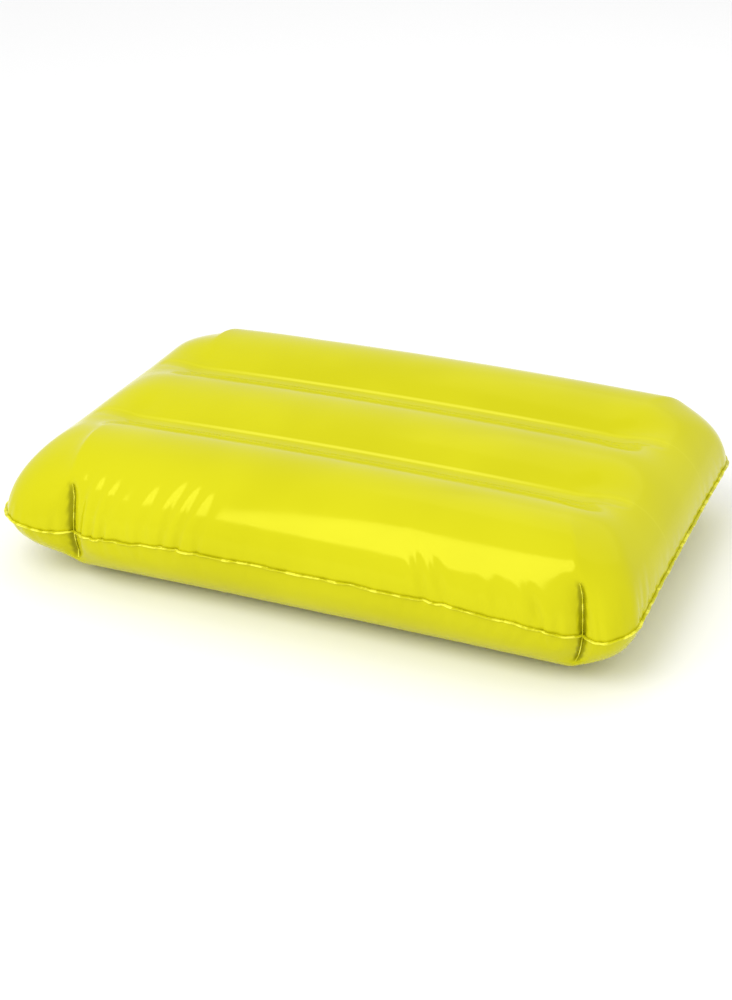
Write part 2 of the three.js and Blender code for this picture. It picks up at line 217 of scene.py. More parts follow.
def select_in_mesh(obj, vertices=None, edges=None, faces=None):
    """Selects just the given vertices, edges or faces, by flag lists, in object mode."""
    mesh = obj.data
    for group, flags in ((mesh.vertices, vertices), (mesh.edges, edges), (mesh.polygons, faces)):
        chosen = np.zeros(len(group), bool) if flags is None else np.asarray(flags, bool)
        group.foreach_set("select", chosen)
    mesh.update()


def edit(obj, mode="VERT"):
    """Opens obj in edit mode with that kind of selection."""
    pick(obj)
    bpy.ops.object.mode_set(mode="EDIT")
    bpy.ops.mesh.select_mode(type=mode)


def leave_edit():
    bpy.ops.object.mode_set(mode="OBJECT")


def finish_modifier(obj, kind, **values):
    """Adds a modifier, sets its values and applies it."""
    pick(obj)
    modifier = obj.modifiers.new(kind.title(), kind)
    for key, value in values.items():
        setattr(modifier, key, value)
    bpy.ops.object.modifier_apply(modifier=modifier.name)


# ---------------------------------------------------------------------------------------------
# Shape of the inflated film

RINGS = 9
CELLS_LONG = 52
CELLS_ACROSS = 26
NI = CELLS_LONG + 2 * RINGS
NJ = CELLS_ACROSS + 2 * RINGS
BAND_Y = 0.0390
BAND_HALF = 0.0045
BAND_END = 0.158
VALLEY_DEPTH = 0.0085
VALLEY_REACH = 0.030
LOWER_VALLEY_DEPTH = 0.0075
RESTING = 0.12
CREASE_TURN = math.radians(38)
CREASE_FADE = math.radians(7)
DART_REACH = 0.006
WALL_RADIUS = 0.041
AIR_STEPS = 16
SIDE_LENS, SIDE_LENS_GAIN = 0.03, 0.03
END_LENS, END_LENS_LOSS = 0.12, 0.04
LENS_REACH = 0.04
DOME_LONG, DOME_ACROSS = 0.0023, 0.0008
BAFFLE_STATIONS = 81
BAFFLE_THICK = 0.0005
BAFFLE_ROOM = 0.0022
MOST_MOVE = 0.004


def cross_lines(inner):
    """Places of the grid lines across the flat middle: one on each edge of the weld bands."""
    low, high = BAND_Y - BAND_HALF, BAND_Y + BAND_HALF
    outer, band = 6, 2
    middle = CELLS_ACROSS - 2 * outer - 2 * band
    stops = [(-inner, -high, outer), (-high, -low, band), (-low, low, middle), (low, high, band),
             (high, inner, outer)]
    lines = [-inner]
    for start, end, steps in stops:
        lines += [start + (end - start) * k / steps for k in range(1, steps + 1)]
    return np.array(lines)


def crowd(share, amount=0.55):
    """Spreads the places from -1 to 1 so that they crowd towards both ends."""
    return share + amount * np.sin(np.pi * share) / np.pi


def end_outline(share, size, dart):
    """Rim of an end from dart to dart, seen from above: x, y and the distance left to the nearer dart."""
    radius = size.lobe_radius
    straight = size.half_width - radius
    arc = QUARTER * radius
    past = np.maximum(0, dart - (size.half_length - radius))
    full = straight + arc + np.maximum(0, size.half_length - radius - dart)
    full = np.where(past > 0, straight + arc - radius * np.arcsin(np.clip(past / radius, 0, 1)), full)
    run = np.abs(share) * full
    angle = np.clip((run - straight) / radius, 0, QUARTER)
    x = size.half_length - radius + radius * np.cos(angle) - np.maximum(0, run - straight - arc)
    y = np.minimum(run, straight) + radius * np.sin(angle)
    return x, np.sign(share) * y, full - run, full


def side_outline(share, size):
    """Rim of a long side from dart to dart: x, distance from the middle, distance to a dart, length."""
    length = size.left_dart + size.right_dart
    x = (share + 1) / 2 * length - size.left_dart
    past = np.maximum(0, np.abs(x) - (size.half_length - size.lobe_radius))
    y = size.half_width - (size.lobe_radius - np.sqrt(size.lobe_radius ** 2 - past ** 2))
    return x, y, (1 - np.abs(share)) * length / 2, length


def film_shape(size, up):
    """Every point of one inflated sheet as a grid, its turn over the wall and its share of the rim."""
    inner_x = size.half_length - size.end_depth
    inner_y = size.half_width - size.side_depth
    i, j = np.meshgrid(np.arange(NI + 1), np.arange(NJ + 1), indexing="ij")
    ring = np.minimum.reduce([i, j, NI - i, NJ - j, np.full_like(i, RINGS)])
    turn = QUARTER * ring / RINGS
    share_x = (i - ring) / (NI - 2 * ring) * 2 - 1
    line_y = (j - ring) / (NJ - 2 * ring) * CELLS_ACROSS
    rest_y = np.interp(line_y, np.arange(CELLS_ACROSS + 1), cross_lines(inner_y))
    rest = np.stack([share_x * inner_x, rest_y], -1)
    along_x, along_y = crowd(share_x), crowd(rest_y / inner_y)
    sign_x = np.where(2 * i < NI, -1, 1)
    sign_y = np.where(2 * j < NJ, -1, 1)
    on_side = (j == ring) | (j == NJ - ring)
    side_x, side_y, side_gap, side_length = side_outline(along_x, size)
    dart = np.where(sign_x > 0, size.right_dart, size.left_dart)
    end_x, end_y, end_gap, end_half = end_outline(along_y, size, dart)
    rim = np.where(on_side[..., None], np.stack([side_x, sign_y * side_y], -1),
                   np.stack([sign_x * end_x, end_y], -1))
    # The darts pull the rim in to a crease that ends part of the way up the wall.
    to_dart = np.where(on_side, side_gap, end_gap)
    above_crease = smooth(CREASE_TURN - CREASE_FADE, CREASE_TURN + CREASE_FADE, turn)
    pull = np.exp(-to_dart / DART_REACH) * (1 - above_crease)
    rim[..., 1] -= np.where(on_side, sign_y, np.sign(along_y)) * size.dart_inset * pull
    rim = np.where((ring >= RINGS)[..., None], rest, rim)
    # The ends close a little more like a lens than the long sides.
    near_corner = np.exp(-to_dart / LENS_REACH)
    lens = np.where(on_side, SIDE_LENS + SIDE_LENS_GAIN * near_corner,
                    END_LENS - END_LENS_LOSS * near_corner)
    out = np.cos(turn) * (1 - lens) + lens * (1 - turn / QUARTER)
    plan = rest + (rim - rest) * out[..., None]
    droop = np.abs(np.where(on_side, along_x, along_y)) ** 3
    middle = np.where(on_side, size.rim_middle, size.rim_end)
    rim_z = middle + (size.rim_corner - middle) * droop
    rim_z = size.rim_middle + (rim_z - size.rim_middle) * np.cos(turn)
    from_band = np.abs(np.abs(plan[..., 1]) - BAND_Y) - BAND_HALF
    valley = (1 + np.cos(np.pi * np.clip(from_band / VALLEY_REACH, 0, 1))) / 2
    over = smooth(0.1, 1.1, turn) * smooth(BAND_END + 0.014, BAND_END - 0.03, np.abs(plan[..., 0]))
    if up:
        dome = DOME_LONG * (plan[..., 0] / inner_x) ** 2 - DOME_ACROSS * (plan[..., 1] / inner_y) ** 2
        z = rim_z + (size.crest - dome - VALLEY_DEPTH * valley * over - rim_z) * np.sin(turn)
    else:
        lifted = LOWER_VALLEY_DEPTH * np.maximum(0, valley - RESTING) / (1 - RESTING) * over
        z = rim_z - (rim_z - lifted) * np.sin(turn)
    # Distance round the whole rim from the front left dart, counted anticlockwise from above.
    side_run = (along_x + 1) / 2 * side_length
    end_run = (along_y + 1) * end_half
    left_end, right_end = 2 * end_half[0, 0], 2 * end_half[-1, 0]
    rim_run = np.where(on_side, np.where(sign_y < 0, side_run, side_length * 2 + right_end - side_run),
                       np.where(sign_x > 0, side_length + end_run,
                                2 * side_length + right_end + left_end - end_run))
    whole = 2 * side_length + right_end + left_end
    return np.concatenate([plan, z[..., None]], -1), turn, rim_run / whole, whole


def grid_places(obj):
    """The column and row of every point of a fresh grid."""
    points = points_of(obj)
    return np.rint((points[:, 0] + 0.5) * NI).astype(int), np.rint((points[:, 1] + 0.5) * NJ).astype(int)


def sheet_grid(name, made, up):
    """A grid primitive bent to one inflated sheet, with its faces outwards and its rim places kept."""
    shape, turn, rim_share, _ = made
    bpy.ops.object.select_all(action="DESELECT")
    bpy.ops.mesh.primitive_grid_add(x_subdivisions=NI, y_subdivisions=NJ, size=1)
    sheet = bpy.context.object
    sheet.name = name
    i, j = grid_places(sheet)
    set_points(sheet, shape[i, j])
    angle = 2 * np.pi * rim_share[i, j]
    for label, values in (("turn", turn[i, j]), ("rim_cos", np.cos(angle)), ("rim_sin", np.sin(angle))):
        keep_values(sheet, label, values)
    for label, values in (("column", i), ("row", j)):
        keep_values(sheet, label, values)
    if not up:
        edit(sheet)
        bpy.ops.mesh.select_all(action="SELECT")
        bpy.ops.mesh.flip_normals()
        leave_edit()
    return sheet, i, j


def relax_with_air(size, top, bottom):
    """Blows up both sheets as one closed cloth, held at the welds, and returns their new points."""
    pick(top)
    bpy.ops.object.duplicate()
    film = bpy.context.object
    pick(bottom)
    bpy.ops.object.duplicate()
    under = bpy.context.object
    keep_values(film, "lower", np.zeros(len(film.data.vertices)))
    keep_values(under, "lower", np.ones(len(under.data.vertices)))
    pick(film)
    under.select_set(True)
    bpy.ops.object.join()
    edit(film)
    bpy.ops.mesh.select_all(action="SELECT")
    bpy.ops.mesh.remove_doubles(threshold=0.01 * MM)
    leave_edit()
    i, j, lower = (np.rint(kept_values(film, label)).astype(int) for label in ("column", "row", "lower"))
    before = points_of(film)
    ring = np.minimum.reduce([i, j, NI - i, NJ - j, np.full_like(i, RINGS)])
    on_dart = np.minimum(i, NI - i) == np.minimum(j, NJ - j)
    on_dart &= ring * QUARTER / RINGS < CREASE_TURN
    on_band = np.abs(np.abs(before[:, 1]) - BAND_Y) < BAND_HALF * 1.05
    on_band &= np.abs(before[:, 0]) < BAND_END
    on_band &= ring >= RINGS - 4
    on_ground = before[:, 2] < 0.3 * MM
    pins = film.vertex_groups.new(name="welds")
    pins.add([int(k) for k in np.nonzero(on_dart | on_band | on_ground)[0]], 1.0, "REPLACE")
    cloth = film.modifiers.new("Air", "CLOTH")
    settings = cloth.settings
    settings.vertex_group_mass = "welds"
    settings.pin_stiffness = 1.0
    settings.quality = 6
    settings.mass = 0.1
    settings.tension_stiffness = settings.compression_stiffness = 40
    settings.shear_stiffness = 20
    settings.bending_stiffness = 0.5
    settings.tension_damping = settings.compression_damping = settings.shear_damping = 5
    settings.use_pressure = True
    settings.uniform_pressure_force = size.pressure
    settings.effector_weights.gravity = 0
    cloth.point_cache.frame_start = 1
    cloth.point_cache.frame_end = AIR_STEPS
    for step in range(1, AIR_STEPS + 1):
        bpy.context.scene.frame_set(step)
    pick(film)
    bpy.ops.object.modifier_apply(modifier=cloth.name)
    bpy.context.scene.frame_set(1)
    moved = points_of(film) - before
    far = np.linalg.norm(moved, axis=1, keepdims=True)
    moved *= np.minimum(1, MOST_MOVE / np.maximum(far, 1e-9))
    after = before + moved
    after[:, 2] = np.maximum(after[:, 2], 0)
    results = []
    for flag in (0, 1):
        table = np.zeros((NI + 1, NJ + 1, 3))
        chosen = (lower == flag) | (ring == 0)
        table[i[chosen], j[chosen]] = after[chosen]
        results.append(table)
    bpy.data.objects.remove(film)
    return results


def crease_darts(sheet, i, j):
    """Splits the corner faces along the dart lines and sharpens those lines."""
    ring = np.minimum.reduce([i, j, NI - i, NJ - j])
    on_dart = (np.minimum(i, NI - i) == np.minimum(j, NJ - j)) & (ring <= RINGS)
    select_in_mesh(sheet, vertices=on_dart)
    edit(sheet)
    bpy.ops.mesh.vert_connect()
    leave_edit()
    ends = edge_ends(sheet)
    sharp = (on_dart & (ring * QUARTER / RINGS < CREASE_TURN))[ends].all(1)
    # Subdivision reads this attribute, by its name, as how sharp each edge stays.
    crease = sheet.data.attributes.new("crease_edge", "FLOAT", "EDGE")
    crease.data.foreach_set("value", sharp.astype(np.float32))
    keep_values(sheet, "dart", on_dart)


# ---------------------------------------------------------------------------------------------
# Puckers

# Puckers of the front wall that are seen best: place from the middle, width, depth, reach and lean.
FRONT_PUCKERS = (
    (-0.1265, 0.0016, 0.0012, 0.034, 0.10), (-0.1185, 0.0016, 0.0012, 0.033, 0.12),
    (-0.1110, 0.0022, 0.0010, 0.034, 0.15), (-0.1000, 0.0040, 0.0008, 0.036, 0.10),
    (-0.0870, 0.0024, 0.0009, 0.036, 0.12), (-0.0745, 0.0017, 0.0014, 0.036, 0.14),
    (-0.0650, 0.0017, 0.0014, 0.034, 0.14), (-0.0530, 0.0020, 0.0010, 0.032, 0.10),
    (0.0760, 0.0022, 0.0014, 0.026, -0.10), (0.0860, 0.0022, 0.0014, 0.024, -0.12),
    (0.1180, 0.0030, 0.0008, 0.022, -0.10), (0.1370, 0.0024, 0.0008, 0.022, -0.20),
)


def pucker_list(size, whole):
    """Every pucker: its place along the rim, width, depth, reach, lean and whether it is above."""
    rng = np.random.default_rng(11)
    darts = np.array([0, size.left_dart + size.right_dart])
    darts = np.concatenate([darts, whole - darts[1:] - (whole - 2 * darts[1]) / 2, [whole]])
    puckers = []
    place = 4 * MM
    while place < whole - 4 * MM:
        nearest = np.abs(darts - place).min()
        crowding = math.exp(-nearest / 0.05)
        depth = rng.uniform(0.15, 0.5) * MM * (0.6 + 1.6 * crowding)
        reach = rng.uniform(6, 13) * MM * (1 + 0.9 * crowding)
        width = rng.uniform(1.4, 2.6) * MM
        lean = rng.normal(0, 0.15)
        puckers.append((place, width, depth, reach, lean, True))
        puckers.append((place + rng.normal(0, 1) * MM, width, depth * 0.8, reach * 0.9, -lean, False))
        place += rng.uniform(5, 12) * MM * (1.15 - 0.35 * crowding)
    for x, width, depth, reach, lean in FRONT_PUCKERS:
        puckers.append((x + size.left_dart, width, depth, reach, lean, True))
    return puckers


def pucker_walls(size, sheet, up, whole):
    """Dents the walls beside the rim weld, each dent narrow at the weld and wider where it dies out."""
    points = points_of(sheet)
    normals = normals_of(sheet)
    turn = kept_values(sheet, "turn")
    run = np.arctan2(kept_values(sheet, "rim_sin"), kept_values(sheet, "rim_cos")) / (2 * np.pi) * whole
    rise = turn * WALL_RADIUS
    dent = np.zeros(len(points))
    for place, width, depth, reach, lean, above in pucker_list(size, whole):
        if above != up:
            continue
        gap = (run - place - lean * rise + whole / 2) % whole - whole / 2
        spread = width * (1 + rise / (45 * MM))
        shape = np.exp(-(gap / spread) ** 2) * np.exp(-(rise / reach) ** 4)
        dent += depth * shape
    # Slow waves along the rim weld, the same in both sheets.
    wave = np.zeros(len(points))
    for turns, height, phase in ((23, 0.22, 0.4), (41, 0.16, 1.9), (67, 0.12, 4.1)):
        wave += height * MM * np.sin(2 * np.pi * turns * run / whole + phase)
    points = points - normals * dent[:, None]
    points[:, 2] += wave * np.exp(-(rise / (8 * MM)) ** 2)
    points[:, 2] = np.maximum(points[:, 2], 0)
    set_points(sheet, points)


def press_bands(sheet):
    """Presses the weld bands of the baffles flat and a little into the sheet."""
    points = points_of(sheet)
    past_end = np.maximum(np.abs(points[:, 0]) - (BAND_END - BAND_HALF), 0)
    from_line = np.hypot(past_end, np.abs(np.abs(points[:, 1]) - BAND_Y))
    pressed = 0.5 * MM * smooth(BAND_HALF + 1.3 * MM, BAND_HALF - 1.1 * MM, from_line)
    set_points(sheet, points - normals_of(sheet) * pressed[:, None])


# ---------------------------------------------------------------------------------------------
# Valve

STEM_PROUD = 0.0032
VALVE_HOLE = 0.0086
VALVE_JOINT = next(joint for joint in frame["joints"] if joint["name"] == "stem_push")
VALVE_OUT = Vector(VALVE_JOINT["axis"]).normalized()
VALVE_ACROSS = Vector((1, 0, 0))
VALVE_UP = VALVE_ACROSS.cross(VALVE_OUT)


def in_valve_frame(points, seat=Vector((0, 0, 0))):
    """Points as rows of across, up and outward distances from a seat."""
    basis = np.array([VALVE_ACROSS, VALVE_UP, VALVE_OUT])
    return (np.asarray(points, float) - np.array(seat)) @ basis.T


def valve_seat():
    """The middle of the valve on the wall: on the stem's axis, where the flange meets the sheet."""
    stem = in_valve_frame(points_of(frame["nodes"]["valve_stem"]))
    across, up = (stem[:, :2].max(0) + stem[:, :2].min(0)) / 2
    outward = stem[:, 2].max() - STEM_PROUD
    return VALVE_ACROSS * across + VALVE_UP * up + VALVE_OUT * outward


SEAT = valve_seat()


def seat_valve(sheet):
    """Moves the wall round the valve in or out until it passes through the seat."""
    points = points_of(sheet)
    local = in_valve_frame(points, SEAT)
    from_axis = np.hypot(local[:, 0], local[:, 1])
    outside = local[:, 2] > -0.02
    beside = (from_axis < 0.012) & outside
    off = local[:, 2] + local[:, 1] ** 2 / (2 * WALL_RADIUS)
    middle = np.median(off[beside])
    wide = smooth(0.045, 0.0145, from_axis) * outside
    close = smooth(0.022, 0.0155, from_axis) * outside
    set_points(sheet, points - np.outer(middle * wide * (1 - close) + off * close, VALVE_OUT))


def open_valve_hole(sheet):
    """Cuts the round hole of the valve and draws its edge to a true circle."""
    local = in_valve_frame(points_of(sheet), SEAT)
    from_axis = np.hypot(local[:, 0], local[:, 1])
    inside = (from_axis < VALVE_HOLE) & (np.abs(local[:, 2]) < 0.01)
    select_in_mesh(sheet, vertices=inside)
    edit(sheet)
    bpy.ops.mesh.delete(type="VERT")
    leave_edit()
    points = points_of(sheet)
    local = in_valve_frame(points, SEAT)
    from_axis = np.hypot(local[:, 0], local[:, 1])
    near = (from_axis < VALVE_HOLE + 3.2 * MM) & (np.abs(local[:, 2]) < 0.01)
    on_hole = np.zeros(len(points), bool)
    on_hole[np.unique(edge_ends(sheet)[open_edges(sheet)])] = True
    on_hole &= near
    for k in np.nonzero(on_hole)[0]:
        across, up = local[k, :2] * VALVE_HOLE / from_axis[k]
        points[k] = SEAT + VALVE_ACROSS * across + VALVE_UP * up + VALVE_OUT * local[k, 2]
    set_points(sheet, points)


def on_valve(piece):
    """Moves a piece made about the Z axis at the origin onto the valve's axis and applies the move."""
    turn = Matrix((VALVE_ACROSS, VALVE_UP, VALVE_OUT)).transposed().to_4x4()
    piece.matrix_world = Matrix.Translation(SEAT) @ turn
    pick(piece)
    bpy.ops.object.transform_apply(location=True, rotation=True, scale=True)
    edit(piece)
    bpy.ops.mesh.select_all(action="SELECT")
    bpy.ops.mesh.normals_make_consistent(inside=False)
    leave_edit()


def turned(name, profile, ring=True, segments=72):
    """A turned piece from its profile in millimetres: (radius, height) points, from below to above."""
    bpy.ops.object.select_all(action="DESELECT")
    radius, height = profile[0]
    bpy.ops.mesh.primitive_circle_add(vertices=segments, radius=radius * MM, fill_type="NOTHING")
    piece = bpy.context.object
    piece.name = name
    edit(piece)
    bpy.ops.mesh.select_all(action="SELECT")
    bpy.ops.transform.translate(value=(0, 0, height * MM))
    for next_radius, next_height in profile[1:] + (profile[:1] if ring else ()):
        bpy.ops.mesh.extrude_region_move(
            TRANSFORM_OT_translate={"value": (0, 0, (next_height - height) * MM)})
        grow = next_radius / radius
        bpy.ops.transform.resize(value=(grow, grow, 1), center_override=(0, 0, next_height * MM))
        radius, height = next_radius, next_height
    bpy.ops.mesh.select_all(action="SELECT")
    bpy.ops.mesh.remove_doubles(threshold=0.005 * MM)
    if not ring:
        bpy.ops.mesh.fill_holes(sides=0)
    bpy.ops.mesh.select_all(action="SELECT")
    bpy.ops.mesh.normals_make_consistent(inside=False)
    leave_edit()
    return piece


def block(name, low, high):
    """A box between two corners in millimetres."""
    low, high = Vector(low) * MM, Vector(high) * MM
    bpy.ops.object.select_all(action="DESELECT")
    bpy.ops.mesh.primitive_cube_add(size=1, location=(low + high) / 2, scale=high - low)
    piece = bpy.context.object
    piece.name = name
    bpy.ops.object.transform_apply(location=True, rotation=True, scale=True)
    return piece


def knuckle(name, x, z, radius, width):
    """A rod along Y, in millimetres."""
    bpy.ops.object.select_all(action="DESELECT")
    bpy.ops.mesh.primitive_cylinder_add(vertices=24, radius=radius * MM, depth=width * MM,
                                        location=(x * MM, 0, z * MM), rotation=(QUARTER, 0, 0))
    piece = bpy.context.object
    piece.name = name
    bpy.ops.object.transform_apply(location=True, rotation=True, scale=True)
    return piece


def fuse(piece, *others):
    """Joins pieces into one closed body."""
    for other in others:
        pick(piece)
        union = piece.modifiers.new("Fuse", "BOOLEAN")
        union.operation = "UNION"
        union.solver = "EXACT"
        union.object = other
        bpy.ops.object.modifier_apply(modifier=union.name)
        bpy.data.objects.remove(other)
    return piece


def finish_moulding(piece, width, material, bodies, slot, *nodes):
    """Rounds the edges of a valve piece, puts it on the valve, gives it its material and, when a body is
    named, lets it ride on that body.
    """
    finish_modifier(piece, "BEVEL", width=width * MM, segments=2, limit_method="ANGLE",
                    angle_limit=math.radians(35))
    on_valve(piece)
    pick(piece)
    bpy.ops.object.shade_smooth_by_angle(angle=math.radians(40))
    piece.data.materials.append(material)
    if isinstance(bodies, str):
        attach(piece, bodies)
    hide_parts(*nodes)


def sag_with_wall(piece):
    """Bends a piece to the upright curve of the wall, as seen from the valve's axis."""
    local = in_valve_frame(points_of(piece), SEAT)
    drop = local[:, 1] ** 2 / (2 * WALL_RADIUS) * smooth(-11 * MM, -3 * MM, local[:, 2])
    set_points(piece, points_of(piece) - np.outer(drop, VALVE_OUT))


# ---------------------------------------------------------------------------------------------
# Welds and inner walls


def settle(piece, body):
    """Shades a finished piece smooth and lets it ride on its body."""
    pick(piece)
    bpy.ops.object.shade_smooth()
    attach(piece, body)


def split_off(sheet, name, edges):
    """A copy of some edges of a sheet as a new object."""
    select_in_mesh(sheet, edges=edges)
    edit(sheet, "EDGE")
    bpy.ops.mesh.duplicate()
    bpy.ops.mesh.separate(type="SELECTED")
    leave_edit()
    strip = next(o for o in bpy.context.selected_objects if o is not sheet)
    strip.name = name
    return strip


def push_out(strip, distance):
    """Extrudes every edge of a strip outwards, level with the ground. distance is given for each point."""
    edit(strip, "EDGE")
    bpy.ops.mesh.select_all(action="SELECT")
    bpy.ops.mesh.extrude_edges_move()
    leave_edit()
    moved = np.empty(len(strip.data.vertices), bool)
    strip.data.vertices.foreach_get("select", moved)
    points = points_of(strip)
    outward = np.stack([kept_values(strip, "out_x"), kept_values(strip, "out_y")], -1)
    outward /= np.maximum(np.linalg.norm(outward, axis=1, keepdims=True), 1e-9)
    step = distance(strip) * outward
    points[:, :2] += np.where(moved[:, None], step, -0.4 * MM * outward)
    set_points(strip, points)
    return moved


def rim_weld(size, top, material):
    """The flat fin where the two sheets are welded all round, a little wavy at its edge."""
    fin = split_off(top, "rim_weld", open_edges(top))
    moved = push_out(fin, lambda strip: size.fin_width)
    points = points_of(fin)
    run = np.arctan2(kept_values(fin, "rim_sin"), kept_values(fin, "rim_cos")) / (2 * np.pi)
    wave = np.zeros(len(points))
    for turns, height, phase in ((57, 0.20, 0.3), (91, 0.14, 2.2), (143, 0.09, 5.0)):
        wave += height * MM * np.sin(2 * np.pi * turns * run + phase)
    points[:, 2] += np.where(moved, wave, 0)
    set_points(fin, points)
    finish_modifier(fin, "SOLIDIFY", thickness=0.5 * MM, offset=0)
    finish_modifier(fin, "BEVEL", width=0.15 * MM, segments=2)
    fin.data.materials.clear()
    fin.data.materials.append(material)
    settle(fin, "pillow")


def dart_welds(top, bottom, material):
    """The upright fins in the four corner creases."""
    strips = []
    for sheet in (top, bottom):
        on_dart = kept_values(sheet, "dart") > 0.99
        low = kept_values(sheet, "turn") < CREASE_TURN * 1.02
        strips.append(split_off(sheet, "dart_welds", (on_dart & low)[edge_ends(sheet)].all(1)))
    fins, under = strips
    pick(fins)
    under.select_set(True)
    bpy.ops.object.join()
    push_out(fins, lambda strip: (1.5 * MM * (1 - 0.5 * kept_values(strip, "turn") / CREASE_TURN))[:, None])
    finish_modifier(fins, "SOLIDIFY", thickness=0.5 * MM, offset=0)
    finish_modifier(fins, "BEVEL", width=0.15 * MM, segments=2)
    fins.data.materials.clear()
    fins.data.materials.append(material)
    settle(fins, "pillow")


def baffle_wall(name, rows):
    """A closed strip from its lengthwise lines, the last of which is the first again."""
    bpy.ops.object.select_all(action="DESELECT")
    columns = len(rows[0])
    bpy.ops.mesh.primitive_grid_add(x_subdivisions=columns - 1, y_subdivisions=len(rows) - 1, size=1)
    strip = bpy.context.object
    strip.name = name
    flat = points_of(strip)
    i = np.rint((flat[:, 0] + 0.5) * (columns - 1)).astype(int)
    j = np.rint((flat[:, 1] + 0.5) * (len(rows) - 1)).astype(int)
    set_points(strip, np.array(rows)[j, i])
    edit(strip)
    bpy.ops.mesh.select_all(action="SELECT")
    bpy.ops.mesh.remove_doubles(threshold=0.01 * MM)
    bpy.ops.mesh.select_all(action="DESELECT")
    leave_edit()
    places = points_of(strip)[:, 0]
    for end in (places.min(), places.max()):
        select_in_mesh(strip, vertices=np.abs(places - end) < 0.01 * MM)
        edit(strip)
        bpy.ops.mesh.edge_face_add()
        leave_edit()
    edit(strip)
    bpy.ops.mesh.select_all(action="SELECT")
    bpy.ops.mesh.normals_make_consistent(inside=False)
    leave_edit()
    return strip


# ---------------------------------------------------------------------------------------------
# Materials


class Finish:
    """A node material with short calls for the nodes that these finishes share."""

    def __init__(self, name):
        self.material = bpy.data.materials.new(name)
        self.material.use_nodes = True
        self.tree = self.material.node_tree
        self.shader = self.tree.nodes["Principled BSDF"]
        self.place = self.tree.nodes.new("ShaderNodeTexCoord").outputs["Object"]

    def node(self, kind, **sockets):
        made = self.tree.nodes.new(kind)
        for key, value in sockets.items():
            self.give(made, key.replace("_", " "), value)
        return made

    def give(self, node, key, value):
        self.give_socket(node.inputs[key], value)

    def math(self, operation, a, b=0.0, c=0.0):
        made = self.tree.nodes.new("ShaderNodeMath")
        made.operation = operation
        for socket, value in zip(made.inputs, (a, b, c)):
            self.give_socket(socket, value)
        return made.outputs[0]

    def give_socket(self, socket, value):
        if isinstance(value, bpy.types.NodeSocket):
            self.tree.links.new(value, socket)
        else:
            socket.default_value = value

    def kept(self, label):
        """A number kept for every point of the mesh."""
        made = self.tree.nodes.new("ShaderNodeAttribute")
        made.attribute_name = label
        return made.outputs["Fac"]

    def noise(self, scale, detail=3.0, stretch=(1, 1, 1)):
        mapping = self.node("ShaderNodeMapping", Vector=self.place, Scale=stretch)
        made = self.node("ShaderNodeTexNoise", Vector=mapping.outputs[0], Scale=scale, Detail=detail)
        return made.outputs["Fac"]

    def ramp(self, value, low, high, low_out=0.0, high_out=1.0):
        made = self.tree.nodes.new("ShaderNodeMapRange")
        made.interpolation_type = "SMOOTHSTEP"
        for key, given in (("Value", value), ("From Min", low), ("From Max", high),
                           ("To Min", low_out), ("To Max", high_out)):
            self.give_socket(made.inputs[key], given)
        return made.outputs[0]

    def blend(self, share, first, second):
        made = self.tree.nodes.new("ShaderNodeMix")
        made.data_type = "RGBA"
        self.give_socket(made.inputs["Factor"], share)
        self.give_socket(made.inputs["A"], (*first, 1) if isinstance(first, tuple) else first)
        self.give_socket(made.inputs["B"], (*second, 1) if isinstance(second, tuple) else second)
        return made.outputs["Result"]

    def bump(self, height, strength, distance, below=None):
        made = self.node("ShaderNodeBump", Strength=strength, Distance=distance, Height=height)
        if below is not None:
            self.tree.links.new(below, made.inputs["Normal"])
        return made.outputs[0]

    def set(self, **values):
        for key, value in values.items():
            self.give(self.shader, key.replace("_", " "), value)


def lime_film(colours):
    """Glossy soft film: a slow drift of colour, fine orange peel, painted shade in the corner creases and a
    painted highlight along the rear edge of each weld band.
    """
    f = Finish("lime_film")
    drift = f.ramp(f.noise(14.0, 2.0), 0.3, 0.7)
    body = f.blend(drift, tuple(colours.lime_deep), tuple(colours.lime))
    # Painted shade: the body colour is darkened towards the dart lines on the lower wall, standing in for
    # the shade inside the corner creases.
    crease_shade_mask = f.math("MULTIPLY", f.ramp(f.kept("dart"), 0.08, 0.60),
                       f.ramp(f.kept("turn"), CREASE_TURN * 0.75, CREASE_TURN * 1.05, 1.0, 0.0))
    crease_shaded_body = f.blend(crease_shade_mask, body, tuple(0.55 * c for c in colours.lime_deep))
    # A painted highlight: a bright line where the rear edge of each weld band catches the light.
    sides = f.node("ShaderNodeSeparateXYZ", Vector=f.place).outputs
    shine = 0.0
    for band in (-BAND_Y, BAND_Y):
        off = f.math("ABSOLUTE", f.math("SUBTRACT", sides["Y"], band + BAND_HALF))
        shine = f.math("ADD", f.ramp(off, 0.2 * MM, 1.5 * MM, 1.0, 0.0), shine)
    along = f.ramp(f.math("ABSOLUTE", sides["X"]), 0.06, BAND_END - 0.01, 1.0, 0.15)
    above = f.ramp(sides["Z"], 0.045, 0.055)
    shine = f.math("MULTIPLY", f.math("MULTIPLY", shine, along), above)
    bright = tuple(min(1.0, 1.16 * c + 0.03) for c in colours.lime)
    f.set(Base_Color=f.blend(shine, crease_shaded_body, bright))
    peel = f.noise(900.0, 2.0)
    wave = f.noise(60.0, 2.0, (0.5, 1.0, 1.0))
    fine = f.bump(peel, 0.05, 0.0002)
    f.set(Normal=f.bump(wave, 0.05, 0.002, fine), Roughness=f.ramp(f.noise(35.0), 0.3, 0.7, 0.10, 0.16))
    f.set(Specular_IOR_Level=0.07, Metallic=0.07)
    return f.material


